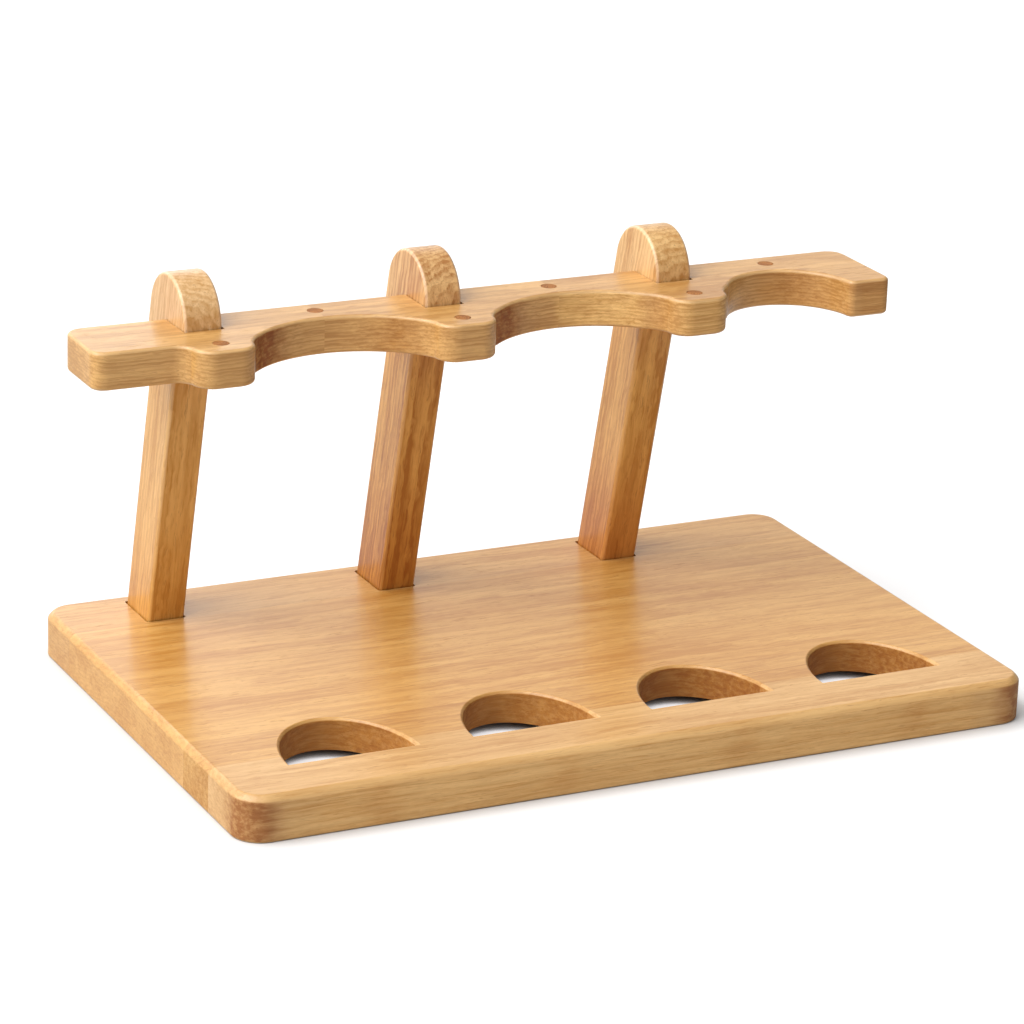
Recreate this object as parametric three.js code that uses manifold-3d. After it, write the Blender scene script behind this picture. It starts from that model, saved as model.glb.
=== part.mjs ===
// Free-standing wooden razor stand: edge-glued base with D-shaped holes, three leaning uprights,
// and a scalloped rail pegged to their half-round heads. Millimetres, +Z up, origin under the base.
import * as THREE from 'three';
import { mergeVertices } from 'three/addons/utils/BufferGeometryUtils.js';
import Module from 'manifold-3d';

const wasm = await Module();
wasm.setup();

// base
const BASE_LENGTH = 320;
const BASE_DEPTH = 204.4;
const BASE_THICK = 17.5;
const BASE_CORNER_R = 11;
const BASE_TOP_ROUND = 2.5;
const BASE_FOOT_ROUND = 1;
const BASE_ROUND_STEPS = 2;
const CORNER_STEPS = 4;
const JOINT_FRONT_Y = -70.6;
const JOINT_SECOND_Y = -47;
const JOINT_BACK_Y = 69.5;

// D-shaped holes
const HOLE_PITCH = 72.2;
const HOLE_COUNT = 4;
const HOLE_ROW_X = 1;
const HOLE_HALF_WIDTH = 24.6;
const HOLE_REACH = 35.5;
const HOLE_CHORD_Y = -78.4;
const HOLE_CHAMFER = 1;
const RELIEF_HEIGHT = 4;
const RELIEF_REACH = 10;
const HOLE_STEPS = 12;

// uprights
const POST_X = [-120, -23, 75];
const POST_THICK = 15;
const POST_DEPTH = 22.4;
const POST_ARRIS = 1.4;
const POST_LEAN = THREE.MathUtils.degToRad(13);
const POST_BASE_Y = 82.6;
const FOOT_Z = 6.5;
const HEAD_R = 17.6;
const HEAD_STEPS = 9;
const ARRIS_STEPS = 1;
const SHOULDER_ROUND = 2.5;
const SHOULDER_EASE = 1;

// mortises and notches
const MORTISE_GAP = 0.5;
const MORTISE_BACK_GAP = 1.1;
const MORTISE_FLOOR_GAP = 0.3;
const MORTISE_CORNER_R = 1.2;
const NOTCH_LEFT_GAP = 0.3;
const NOTCH_RIGHT_GAP = 0.6;
const NOTCH_FRONT_GAP = 0.35;

// rail
const RAIL_TOP_Z = 143;
const RAIL_THICK = 14.5;
const RAIL_EDGE = 1.4;
const RAIL_EDGE_STEPS = 1;
const RAIL_CORNER_STEPS = 4;
const RAIL_LEFT_X = -168;
const RAIL_RIGHT_X = 158;
const RAIL_BACK_Y = 55;
const RAIL_BACK_CORNER = 8;
const LEFT_ARM_FRONT_Y = 21.5;
const LEFT_ARM_CORNER = 6;
const RIGHT_ARM_FRONT_Y = 11.3;
const RIGHT_ARM_CORNER = 4.5;
const RIGHT_ARM_HORN = 2.2;
const RIGHT_ARM_FLARE = 1;
const NOSE_FRONT_Y = 9.5;
const NOSE_R = 8;
const NOSE_STEPS = 6;
const NOSE_FLAT_HALF = 4.2;
const NOSE_NECK_HALF = 15;
const NOSE_NECK_Y = 22.5;
const NECK_ROUND = 3;
const SCALLOP_DEEP_Y = 36.7;
const SCALLOP_R = 46;
const LAST_SCALLOP_X = 114.3;
const LAST_SCALLOP_R = 25.2;
const SCALLOP_STEPS = 14;
const RAIL_JOINT_X = [-71.3, 26];

// pegs, dowels, tongues, screws
const FIT_GAP = 0.15;
const ROUND_SEGMENTS = 20;
const PEG_R = 3;
const PEG_LENGTH = 12;
const PEG_END_CHAMFER = 0.3;
const NOSE_PEG_Y = 19.2;
const BACK_PEG_Y = 45.9;
const LAST_PEG_X = 120.9;
const DOWEL_R = 4;
const DOWEL_FRONT_Y = 14;
const DOWEL_BACK_Y = 47.5;
const DOWEL_END_CHAMFER = 0.6;
const TONGUE_LENGTH = 28;
const TONGUE_DEPTH = 11;
const TONGUE_THICK = 4;
const TONGUE_ROUND = 1;
const SCREW_Y = 83.8;
const SCREW_HEAD_R = 4;
const SCREW_HEAD_DEPTH = 3;
const SCREW_SHANK_R = 1.6;
const SCREW_THREAD_R = 2;
const SCREW_THREAD_PITCH = 3;
const SCREW_LENGTH = 26;
const SCREW_TIP = 3;
const SCREW_SUNK = 0.5;
const SCREW_HEAD_EDGE = 0.4;
const SCREW_SLOT_W = 1.1;
const SCREW_SLOT_DEPTH = 1.3;
const SCREW_SEGMENTS = 12;

const MERGE_TOLERANCE = 1e-4;
const PAST = 5;

const BOARD_COLOURS = ['#d9b27c', '#cfa26c', '#dcb682', '#d3a974'];
const POST_COLOUR = '#c08c4c';
const RAIL_COLOURS = ['#d8b07a', '#d4a970', '#d9b27e'];
const PLUG_COLOUR = '#a8763f';
const DOWEL_COLOUR = '#dcbb8c';
const STEEL_COLOUR = '#b9bcc0';

// distance along an upright's axis from the top of the base to the centre of its half-round head
const headReach = (RAIL_TOP_Z - BASE_THICK) / Math.cos(POST_LEAN);
const railUnderZ = RAIL_TOP_Z - RAIL_THICK;
const railMidZ = RAIL_THICK / 2;

// ---------- shared makers ----------

function solidOf(geometry) {
  const bare = geometry.clone();
  bare.deleteAttribute('normal');
  bare.deleteAttribute('uv');
  const merged = mergeVertices(bare, MERGE_TOLERANCE);
  return new wasm.Manifold(new wasm.Mesh({
    numProp: 3,
    vertProperties: new Float32Array(merged.attributes.position.array),
    triVerts: new Uint32Array(merged.index.array),
  }));
}

function meshOf(name, solid, look) {
  const raw = solid.getMesh();
  const shared = new THREE.BufferGeometry();
  shared.setAttribute('position', new THREE.BufferAttribute(new Float32Array(raw.vertProperties), 3));
  shared.setIndex(new THREE.BufferAttribute(new Uint32Array(raw.triVerts), 1));
  const geometry = shared.toNonIndexed();
  geometry.computeVertexNormals();
  const mesh = new THREE.Mesh(geometry, new THREE.MeshStandardMaterial(look));
  mesh.name = name;
  return mesh;
}

function boxGeometry(low, high) {
  const size = high.map((value, axis) => value - low[axis]);
  const box = new THREE.BoxGeometry(...size);
  box.translate(...low.map((value, axis) => value + size[axis] / 2));
  return box;
}

function extruded(shape, depth, options = {}) {
  return new THREE.ExtrudeGeometry(shape, { depth, bevelEnabled: false, ...options });
}

function roundedRectangle(halfX, halfY, radius) {
  const shape = new THREE.Shape();
  shape.moveTo(halfX, radius - halfY);
  shape.absarc(halfX - radius, halfY - radius, radius, 0, Math.PI / 2);
  shape.absarc(radius - halfX, halfY - radius, radius, Math.PI / 2, Math.PI);
  shape.absarc(radius - halfX, radius - halfY, radius, Math.PI, Math.PI * 1.5);
  shape.absarc(halfX - radius, radius - halfY, radius, Math.PI * 1.5, Math.PI * 2);
  return shape;
}

// closed outline through corners given as [x, y, radius]; a radius eases that corner
function easedShape(corners) {
  const shape = new THREE.Shape();
  corners.forEach(([x, y, radius = 0], i) => {
    const here = new THREE.Vector2(x, y);
    const before = corners[(i + corners.length - 1) % corners.length];
    const after = corners[(i + 1) % corners.length];
    const inwards = new THREE.Vector2(before[0], before[1]).sub(here).normalize().multiplyScalar(radius);
    const onwards = new THREE.Vector2(after[0], after[1]).sub(here).normalize().multiplyScalar(radius);
    const start = here.clone().add(inwards);
    const end = here.clone().add(onwards);
    if (i === 0) {
      shape.moveTo(start.x, start.y);
    } else {
      shape.lineTo(start.x, start.y);
    }
    if (radius > 0) shape.quadraticCurveTo(here.x, here.y, end.x, end.y);
  });
  shape.closePath();
  return shape;
}

function uprightCylinder(radius, height) {
  const bar = new THREE.CylinderGeometry(radius, radius, height, ROUND_SEGMENTS);
  bar.rotateX(Math.PI / 2);
  return bar;
}

// ---------- base ----------

function baseBlank() {
  const outline = roundedRectangle(BASE_LENGTH / 2, BASE_DEPTH / 2, BASE_CORNER_R);
  const edged = (round) => ({
    bevelEnabled: true,
    bevelThickness: round,
    bevelSize: round,
    bevelOffset: -round,
    bevelSegments: BASE_ROUND_STEPS,
    curveSegments: CORNER_STEPS,
  });
  const upper = extruded(outline, BASE_THICK, edged(BASE_TOP_ROUND));
  upper.translate(0, 0, -BASE_TOP_ROUND);
  const lower = extruded(outline, BASE_THICK, edged(BASE_FOOT_ROUND));
  lower.translate(0, 0, BASE_FOOT_ROUND);
  return solidOf(upper).intersect(solidOf(lower));
}

function holeOutline() {
  const shape = new THREE.Shape();
  shape.moveTo(HOLE_HALF_WIDTH, 0);
  shape.absellipse(0, 0, HOLE_HALF_WIDTH, HOLE_REACH, 0, Math.PI);
  shape.closePath();
  return shape;
}

// an extruded D whose edge spreads by reach at both ends, kept to the side behind the chord
function spreadD(reach, height) {
  const spread = extruded(holeOutline(), PAST, {
    bevelEnabled: true,
    bevelThickness: height,
    bevelSize: reach,
    bevelSegments: 1,
    curveSegments: HOLE_STEPS,
  });
  const behindChord = boxGeometry([-BASE_LENGTH, 0, -BASE_THICK], [BASE_LENGTH, BASE_DEPTH, BASE_THICK]);
  return { spread, behindChord };
}

function moved(geometries, x, y, z) {
  geometries.forEach((geometry) => geometry.translate(x, y, z));
}

// the wall leans like the uprights; the top edge is chamfered and the underside relieved
function holeCutter(centreX) {
  const slope = Math.tan(POST_LEAN);
  const leaning = new THREE.Matrix4().makeShear(0, 0, 0, 0, 0, -slope);
  const wall = extruded(holeOutline(), BASE_THICK + 2 * PAST, { curveSegments: HOLE_STEPS });
  wall.translate(0, 0, -BASE_THICK - PAST);
  wall.applyMatrix4(leaning);
  wall.translate(centreX, HOLE_CHORD_Y, BASE_THICK);
  const chamfer = spreadD(HOLE_CHAMFER, HOLE_CHAMFER);
  moved([chamfer.spread, chamfer.behindChord], centreX, HOLE_CHORD_Y, BASE_THICK);
  const relief = spreadD(RELIEF_REACH, RELIEF_HEIGHT);
  const reliefY = HOLE_CHORD_Y + (BASE_THICK - RELIEF_HEIGHT) * slope;
  moved([relief.spread, relief.behindChord], centreX, reliefY, -PAST);
  return solidOf(wall)
    .add(solidOf(chamfer.spread).intersect(solidOf(chamfer.behindChord)))
    .add(solidOf(relief.spread).intersect(solidOf(relief.behindChord)));
}

// a pocket that leans with the upright, slightly long at the back
function mortiseCutter(postX) {
  const halfX = POST_THICK / 2 + MORTISE_GAP;
  const halfY = (POST_DEPTH + MORTISE_GAP + MORTISE_BACK_GAP) / 2;
  const pocket = extruded(roundedRectangle(halfX, halfY, MORTISE_CORNER_R), BASE_THICK * 2, { curveSegments: 2 });
  pocket.translate(0, (MORTISE_BACK_GAP - MORTISE_GAP) / 2, -BASE_THICK);
  pocket.rotateX(POST_LEAN);
  pocket.translate(postX, POST_BASE_Y, BASE_THICK);
  const depthLimit = boxGeometry(
    [postX - POST_THICK, 0, FOOT_Z - MORTISE_FLOOR_GAP],
    [postX + POST_THICK, BASE_DEPTH / 2, BASE_THICK + PAST],
  );
  return solidOf(pocket).intersect(solidOf(depthLimit));
}

// countersunk clearance hole up through the floor of the mortise
function screwHoleCutter(postX) {
  const outer = SCREW_HEAD_R + FIT_GAP * 2;
  const inner = SCREW_THREAD_R + FIT_GAP * 2;
  const profile = [
    [0, -PAST],
    [outer, -PAST],
    [outer, SCREW_SUNK + FIT_GAP * 2],
    [inner, SCREW_SUNK + SCREW_HEAD_DEPTH + FIT_GAP],
    [inner, BASE_THICK / 2],
    [0, BASE_THICK / 2],
  ];
  const cutter = latheUp(profile, SCREW_SEGMENTS);
  cutter.translate(postX, SCREW_Y, 0);
  return solidOf(cutter);
}

function latheUp(profile, segments) {
  const lathe = new THREE.LatheGeometry(profile.map(([r, z]) => new THREE.Vector2(r, z)), segments);
  lathe.rotateX(Math.PI / 2);
  return lathe;
}

function addBase(group) {
  const holeXs = Array.from({ length: HOLE_COUNT }, (_, i) => HOLE_ROW_X + (i - (HOLE_COUNT - 1) / 2) * HOLE_PITCH);
  let base = baseBlank();
  holeXs.forEach((x) => {
    base = base.subtract(holeCutter(x));
  });
  POST_X.forEach((postX) => {
    base = base.subtract(mortiseCutter(postX));
    base = base.subtract(screwHoleCutter(postX));
  });
  const sawn = (name, colour, [fromX, toX], [fromY, toY]) => {
    const slab = boxGeometry([fromX, fromY, -PAST], [toX, toY, BASE_THICK + PAST]);
    group.add(meshOf(name, base.intersect(solidOf(slab)), { color: colour, roughness: 0.5 }));
  };
  const wholeX = [-BASE_LENGTH, BASE_LENGTH];
  sawn('base_board_front', BOARD_COLOURS[0], wholeX, [-BASE_DEPTH, JOINT_FRONT_Y]);
  sawn('base_board_middle', BOARD_COLOURS[2], wholeX, [JOINT_SECOND_Y, JOINT_BACK_Y]);
  sawn('base_board_back', BOARD_COLOURS[3], wholeX, [JOINT_BACK_Y, BASE_DEPTH]);
  // the holes pass right through the narrow second board, which leaves it as five blocks
  const blockEnds = [-BASE_LENGTH, ...holeXs, BASE_LENGTH];
  for (let i = 0; i <= HOLE_COUNT; i += 1) {
    sawn(`base_block_${i + 1}`, BOARD_COLOURS[1], [blockEnds[i], blockEnds[i + 1]], [JOINT_FRONT_Y, JOINT_SECOND_Y]);
  }
}

// ---------- uprights ----------

// side view of an upright in its own frame: u runs back to front edge, v runs up its axis
function uprightOutline() {
  const halfDepth = POST_DEPTH / 2;
  const slope = Math.tan(POST_LEAN);
  const footV = (FOOT_Z - BASE_THICK) / Math.cos(POST_LEAN);
  const shoulderV = (railUnderZ - BASE_THICK) / Math.cos(POST_LEAN);
  const shape = new THREE.Shape();
  shape.moveTo(-halfDepth, footV + halfDepth * slope);
  shape.lineTo(halfDepth, footV - halfDepth * slope);
  shape.lineTo(halfDepth, shoulderV - SHOULDER_ROUND);
  shape.quadraticCurveTo(halfDepth, shoulderV, halfDepth + SHOULDER_ROUND, shoulderV);
  shape.lineTo(HEAD_R, shoulderV + SHOULDER_EASE);
  shape.absarc(0, headReach, HEAD_R, 0, Math.PI);
  shape.lineTo(-HEAD_R, shoulderV + SHOULDER_EASE);
  shape.lineTo(-halfDepth - SHOULDER_ROUND, shoulderV);
  shape.quadraticCurveTo(-halfDepth, shoulderV, -halfDepth, shoulderV - SHOULDER_ROUND);
  shape.closePath();
  return shape;
}

function uprightBlank() {
  const blank = extruded(uprightOutline(), POST_THICK - 2 * POST_ARRIS, {
    bevelEnabled: true,
    bevelThickness: POST_ARRIS,
    bevelSize: POST_ARRIS,
    bevelOffset: -POST_ARRIS,
    bevelSegments: ARRIS_STEPS,
    curveSegments: HEAD_STEPS,
  });
  blank.translate(0, 0, POST_ARRIS - POST_THICK / 2);
  const stand = new THREE.Matrix4().makeBasis(
    new THREE.Vector3(0, 1, 0),
    new THREE.Vector3(0, 0, 1),
    new THREE.Vector3(1, 0, 0),
  );
  blank.applyMatrix4(stand);
  return solidOf(blank);
}

// from the stand's frame into the frame of the leaning upright at the middle of the stand's X
function intoUpright(geometry) {
  geometry.translate(0, -POST_BASE_Y, -BASE_THICK);
  geometry.rotateX(-POST_LEAN);
  return geometry;
}

function addUprights(group) {
  const dowelBore = new THREE.CylinderGeometry(DOWEL_R + FIT_GAP * 2, DOWEL_R + FIT_GAP * 2, DOWEL_BACK_Y, ROUND_SEGMENTS);
  dowelBore.translate(0, DOWEL_BACK_Y / 2 + FIT_GAP * 2, railUnderZ + railMidZ);
  const pilot = uprightCylinder(SCREW_THREAD_R + FIT_GAP * 2, SCREW_LENGTH + PAST);
  pilot.translate(0, SCREW_Y, SCREW_SUNK + (SCREW_LENGTH + PAST) / 2 - PAST + FIT_GAP * 2);
  const upright = uprightBlank()
    .subtract(solidOf(intoUpright(dowelBore)))
    .subtract(solidOf(intoUpright(pilot)));
  ['left', 'middle', 'right'].forEach((side, i) => {
    const leaning = new THREE.Group();
    leaning.position.set(POST_X[i], POST_BASE_Y, BASE_THICK);
    leaning.rotation.x = POST_LEAN;
    leaning.add(meshOf(`upright_${side}`, upright, { color: POST_COLOUR, roughness: 0.45 }));
    group.add(leaning);
  });
}

// ---------- rail ----------

function scallopPoints(centreX, radius, fromX, toX, arc) {
  const from = Math.acos((fromX - centreX) / radius);
  const to = Math.acos((toX - centreX) / radius);
  const points = [];
  for (let i = 0; i <= SCALLOP_STEPS; i += 1) {
    const angle = from + (to - from) * (i / SCALLOP_STEPS);
    points.push([centreX + radius * Math.cos(angle), arc + radius * Math.sin(angle), 0]);
  }
  return points;
}

function nosePoints(centreX, leftNeck, rightNeck) {
  const points = [];
  const round = (side, from, to) => {
    for (let i = 0; i <= NOSE_STEPS; i += 1) {
      const angle = from + (to - from) * (i / NOSE_STEPS);
      points.push([
        centreX + side * NOSE_FLAT_HALF + NOSE_R * Math.cos(angle),
        NOSE_FRONT_Y + NOSE_R + NOSE_R * Math.sin(angle),
        0,
      ]);
    }
  };
  if (leftNeck) points.push(leftNeck);
  round(-1, Math.PI, Math.PI * 1.5);
  round(1, Math.PI * 1.5, Math.PI * 2);
  if (rightNeck) points.push(rightNeck);
  return points;
}

function railOutline() {
  const [left, middle, right] = POST_X;
  const neck = (x) => [x, NOSE_NECK_Y, NECK_ROUND];
  const arcY = SCALLOP_DEEP_Y - SCALLOP_R;
  const lastArcY = SCALLOP_DEEP_Y - LAST_SCALLOP_R;
  const inset = NECK_ROUND;
  const scallop = (fromNose, toNose) => scallopPoints(
    (fromNose + toNose) / 2,
    SCALLOP_R,
    fromNose + NOSE_NECK_HALF + inset,
    toNose - NOSE_NECK_HALF - inset,
    arcY,
  );
  const hornX = LAST_SCALLOP_X + LAST_SCALLOP_R;
  return easedShape([
    [RAIL_LEFT_X, RAIL_BACK_Y, RAIL_BACK_CORNER],
    [RAIL_LEFT_X, LEFT_ARM_FRONT_Y, LEFT_ARM_CORNER],
    [left - NOSE_NECK_HALF, LEFT_ARM_FRONT_Y, NECK_ROUND],
    ...nosePoints(left, null, neck(left + NOSE_NECK_HALF)),
    ...scallop(left, middle),
    ...nosePoints(middle, neck(middle - NOSE_NECK_HALF), neck(middle + NOSE_NECK_HALF)),
    ...scallop(middle, right),
    ...nosePoints(right, neck(right - NOSE_NECK_HALF), neck(right + NOSE_NECK_HALF)),
    ...scallopPoints(LAST_SCALLOP_X, LAST_SCALLOP_R, right + NOSE_NECK_HALF + inset, hornX - FIT_GAP, lastArcY),
    [hornX + RIGHT_ARM_FLARE, RIGHT_ARM_FRONT_Y, RIGHT_ARM_HORN],
    [RAIL_RIGHT_X, RIGHT_ARM_FRONT_Y, RIGHT_ARM_CORNER],
    [RAIL_RIGHT_X, RAIL_BACK_Y, RAIL_BACK_CORNER],
  ]);
}

function railBlank() {
  const blank = extruded(railOutline(), RAIL_THICK - 2 * RAIL_EDGE, {
    bevelEnabled: true,
    bevelThickness: RAIL_EDGE,
    bevelSize: RAIL_EDGE,
    bevelOffset: -RAIL_EDGE,
    bevelSegments: RAIL_EDGE_STEPS,
    curveSegments: RAIL_CORNER_STEPS,
  });
  blank.translate(0, 0, RAIL_EDGE);
  return solidOf(blank);
}

// open-backed notch for the head of an upright; its front wall leans with the head
function notchCutter(postX) {
  const halfHead = HEAD_R + NOTCH_FRONT_GAP;
  const width = POST_THICK + NOTCH_LEFT_GAP + NOTCH_RIGHT_GAP;
  const notch = new THREE.BoxGeometry(width, 2 * halfHead, HEAD_R * 4);
  notch.rotateX(POST_LEAN);
  const headY = POST_BASE_Y - Math.sin(POST_LEAN) * headReach;
  notch.translate(postX + (NOTCH_RIGHT_GAP - NOTCH_LEFT_GAP) / 2, headY, RAIL_THICK);
  return solidOf(notch);
}

function pegBore(x, y) {
  const depth = PEG_LENGTH + FIT_GAP * 2;
  const bore = uprightCylinder(PEG_R + FIT_GAP, depth + PAST);
  bore.translate(x, y, RAIL_THICK - depth + (depth + PAST) / 2);
  return solidOf(bore);
}

function dowelBore(postX) {
  const bore = new THREE.CylinderGeometry(DOWEL_R + FIT_GAP, DOWEL_R + FIT_GAP, DOWEL_BACK_Y, ROUND_SEGMENTS);
  bore.translate(postX, DOWEL_FRONT_Y - FIT_GAP * 2 + DOWEL_BACK_Y / 2, railMidZ);
  return solidOf(bore);
}

function tongueGeometry(jointX, growth) {
  const halfX = TONGUE_LENGTH / 2 + growth;
  const halfY = TONGUE_DEPTH / 2 + growth;
  const thick = TONGUE_THICK + 2 * growth;
  const tongue = extruded(roundedRectangle(halfX, halfY, TONGUE_ROUND), thick, { curveSegments: 1 });
  tongue.translate(jointX, BACK_PEG_Y, railMidZ - thick / 2);
  return tongue;
}

const backPegs = [RAIL_JOINT_X[0], RAIL_JOINT_X[1], LAST_PEG_X];

function addRail(group) {
  let rail = railBlank();
  POST_X.forEach((postX) => {
    rail = rail.subtract(notchCutter(postX));
    rail = rail.subtract(dowelBore(postX));
    rail = rail.subtract(pegBore(postX, NOSE_PEG_Y));
  });
  backPegs.forEach((x) => {
    rail = rail.subtract(pegBore(x, BACK_PEG_Y));
  });
  RAIL_JOINT_X.forEach((x) => {
    rail = rail.subtract(solidOf(tongueGeometry(x, FIT_GAP)));
  });
  const cuts = [RAIL_LEFT_X - PAST, RAIL_JOINT_X[0], RAIL_JOINT_X[1], RAIL_RIGHT_X + PAST];
  ['rail_left', 'rail_middle', 'rail_right'].forEach((name, i) => {
    const slab = boxGeometry([cuts[i], 0, -PAST], [cuts[i + 1], BASE_DEPTH, RAIL_THICK + PAST]);
    group.add(meshOf(name, rail.intersect(solidOf(slab)), { color: RAIL_COLOURS[i], roughness: 0.5 }));
  });
}

// ---------- plugs, dowels and tongues ----------

function addPlugs(group) {
  const profile = [
    [0, -PEG_LENGTH / 2],
    [PEG_R - PEG_END_CHAMFER, -PEG_LENGTH / 2],
    [PEG_R, PEG_END_CHAMFER - PEG_LENGTH / 2],
    [PEG_R, PEG_LENGTH / 2],
    [0, PEG_LENGTH / 2],
  ];
  const plug = solidOf(latheUp(profile, ROUND_SEGMENTS));
  const placePlug = (name, x, y) => {
    const mesh = meshOf(name, plug, { color: PLUG_COLOUR, roughness: 0.6 });
    mesh.position.set(x, y, RAIL_THICK - PEG_LENGTH / 2);
    group.add(mesh);
  };
  ['left', 'middle', 'right'].forEach((side, i) => {
    placePlug(`nose_plug_${side}`, POST_X[i], NOSE_PEG_Y);
    placePlug(`back_plug_${side}`, backPegs[i], BACK_PEG_Y);
  });
}

function addDowels(group) {
  const length = DOWEL_BACK_Y - DOWEL_FRONT_Y;
  const middleY = (DOWEL_BACK_Y + DOWEL_FRONT_Y) / 2;
  const profile = [
    [0, -length / 2],
    [DOWEL_R - DOWEL_END_CHAMFER, -length / 2],
    [DOWEL_R, DOWEL_END_CHAMFER - length / 2],
    [DOWEL_R, length / 2 - DOWEL_END_CHAMFER],
    [DOWEL_R - DOWEL_END_CHAMFER, length / 2],
    [0, length / 2],
  ];
  const pin = new THREE.LatheGeometry(profile.map(([r, h]) => new THREE.Vector2(r, h)), ROUND_SEGMENTS);
  const crossHole = uprightCylinder(PEG_R + FIT_GAP, 4 * DOWEL_R);
  crossHole.translate(0, NOSE_PEG_Y - middleY, 0);
  const dowel = solidOf(pin).subtract(solidOf(crossHole));
  ['left', 'middle', 'right'].forEach((side, i) => {
    const mesh = meshOf(`head_dowel_${side}`, dowel, { color: DOWEL_COLOUR, roughness: 0.6 });
    mesh.position.set(POST_X[i], middleY, railMidZ);
    group.add(mesh);
  });
}

function addTongues(group) {
  ['left', 'right'].forEach((side, i) => {
    const tongue = solidOf(tongueGeometry(0, 0));
    const hole = uprightCylinder(PEG_R + FIT_GAP, RAIL_THICK * 2);
    hole.translate(0, BACK_PEG_Y, 0);
    const mesh = meshOf(`joint_tongue_${side}`, tongue.subtract(solidOf(hole)), { color: DOWEL_COLOUR, roughness: 0.6 });
    mesh.position.x = RAIL_JOINT_X[i];
    group.add(mesh);
  });
}

// ---------- foot screws ----------

function addScrews(group) {
  const threadStart = SCREW_HEAD_DEPTH + SCREW_THREAD_PITCH * 2;
  const profile = [
    [0, 0],
    [SCREW_HEAD_R, 0],
    [SCREW_HEAD_R, SCREW_HEAD_EDGE],
    [SCREW_THREAD_R, SCREW_HEAD_DEPTH],
    [SCREW_THREAD_R, threadStart],
  ];
  for (let z = threadStart; z < SCREW_LENGTH - SCREW_TIP; z += SCREW_THREAD_PITCH) {
    profile.push([SCREW_SHANK_R, z + SCREW_THREAD_PITCH * 0.25]);
    profile.push([SCREW_SHANK_R, z + SCREW_THREAD_PITCH * 0.75]);
    profile.push([SCREW_THREAD_R, z + SCREW_THREAD_PITCH]);
  }
  profile.push([0, SCREW_LENGTH]);
  const slot = boxGeometry(
    [-SCREW_HEAD_R * 2, -SCREW_SLOT_W / 2, -PAST],
    [SCREW_HEAD_R * 2, SCREW_SLOT_W / 2, SCREW_SLOT_DEPTH],
  );
  const screw = solidOf(latheUp(profile, SCREW_SEGMENTS)).subtract(solidOf(slot));
  ['left', 'middle', 'right'].forEach((side, i) => {
    const mesh = meshOf(`foot_screw_${side}`, screw, { color: STEEL_COLOUR, roughness: 0.35, metalness: 0.9 });
    mesh.position.set(POST_X[i], SCREW_Y, SCREW_SUNK);
    group.add(mesh);
  });
}

// ---------- the stand ----------

const stand = new THREE.Group();
const rail = new THREE.Group();
rail.position.z = railUnderZ;
addBase(stand);
addUprights(stand);
addScrews(stand);
addRail(rail);
addPlugs(rail);
addDowels(rail);
addTongues(rail);
stand.add(rail);
stand.updateMatrixWorld(true);

export default stand;
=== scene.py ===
import math

import bmesh
import bpy
from mathutils import Matrix, Vector


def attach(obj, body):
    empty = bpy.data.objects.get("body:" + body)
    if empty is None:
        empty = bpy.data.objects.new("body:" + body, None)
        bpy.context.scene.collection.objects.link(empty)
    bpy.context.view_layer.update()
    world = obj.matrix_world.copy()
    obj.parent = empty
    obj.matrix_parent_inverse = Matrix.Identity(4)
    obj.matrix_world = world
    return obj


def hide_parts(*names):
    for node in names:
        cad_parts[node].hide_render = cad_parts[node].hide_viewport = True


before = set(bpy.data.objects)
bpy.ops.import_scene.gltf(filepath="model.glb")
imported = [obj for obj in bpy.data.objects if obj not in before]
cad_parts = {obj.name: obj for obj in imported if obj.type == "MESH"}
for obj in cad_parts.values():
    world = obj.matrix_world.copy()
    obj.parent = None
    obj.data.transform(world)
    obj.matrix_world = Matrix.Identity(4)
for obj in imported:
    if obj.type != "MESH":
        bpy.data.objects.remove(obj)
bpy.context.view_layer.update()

# ---------------------------------------------------------------------------
# Base panel: four hardwood boards edge-glued along their length, then machined
# as one: rounded corners, an eased chamfer round the top, four D-shaped holes that
# leave the narrow second board as five blocks, and three leaning mortises.
# ---------------------------------------------------------------------------
MM = 0.001
PANEL_LENGTH = 320.0
PANEL_DEPTH = 204.4
PANEL_THICK = 17.5
PANEL_CORNER = 11.0
PANEL_CORNER_STEPS = 20
PANEL_CHAMFER = 2.1
PANEL_CHAMFER_EASE = 0.7
PANEL_FOOT_ROLL = 1.0
PANEL_FOOT_STEPS = 4
BOARD_JOINTS_Y = (-70.6, -47.0, 69.5)
D_HOLE_X = (-107.3, -35.1, 37.1, 109.3)
D_HOLE_CHORD_Y = -78.4
D_HOLE_HALF_WIDTH = 24.6
D_HOLE_REACH = 35.5
D_HOLE_CHAMFER = 1.0
D_HOLE_CHAMFER_EASE = 0.3
D_HOLE_STEPS = 72
RELIEF_HEIGHT = 4.0
RELIEF_REACH = 10.0
UPRIGHT_X = (-120.0, -23.0, 75.0)
UPRIGHT_FOOT_Y = 82.6
UPRIGHT_LEAN = math.radians(13.0)
UPRIGHT_THICK = 15.0
UPRIGHT_DEPTH = 22.4
MORTISE_FLOOR_Z = 6.2
MORTISE_SIDE_GAP = 0.5
MORTISE_BACK_GAP = 1.1
MORTISE_CORNER = 1.2
MORTISE_CORNER_STEPS = 6
FOOT_SCREW_Y = 83.8
COUNTERBORE_RADIUS = 4.3
COUNTERBORE_DEPTH = 0.8
PILOT_RADIUS = 2.3
PILOT_PAST = 1.0
BORE_STEPS = 40
CUT_PAST = 5.0
SHARPEST_MITRE = 0.4


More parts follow.
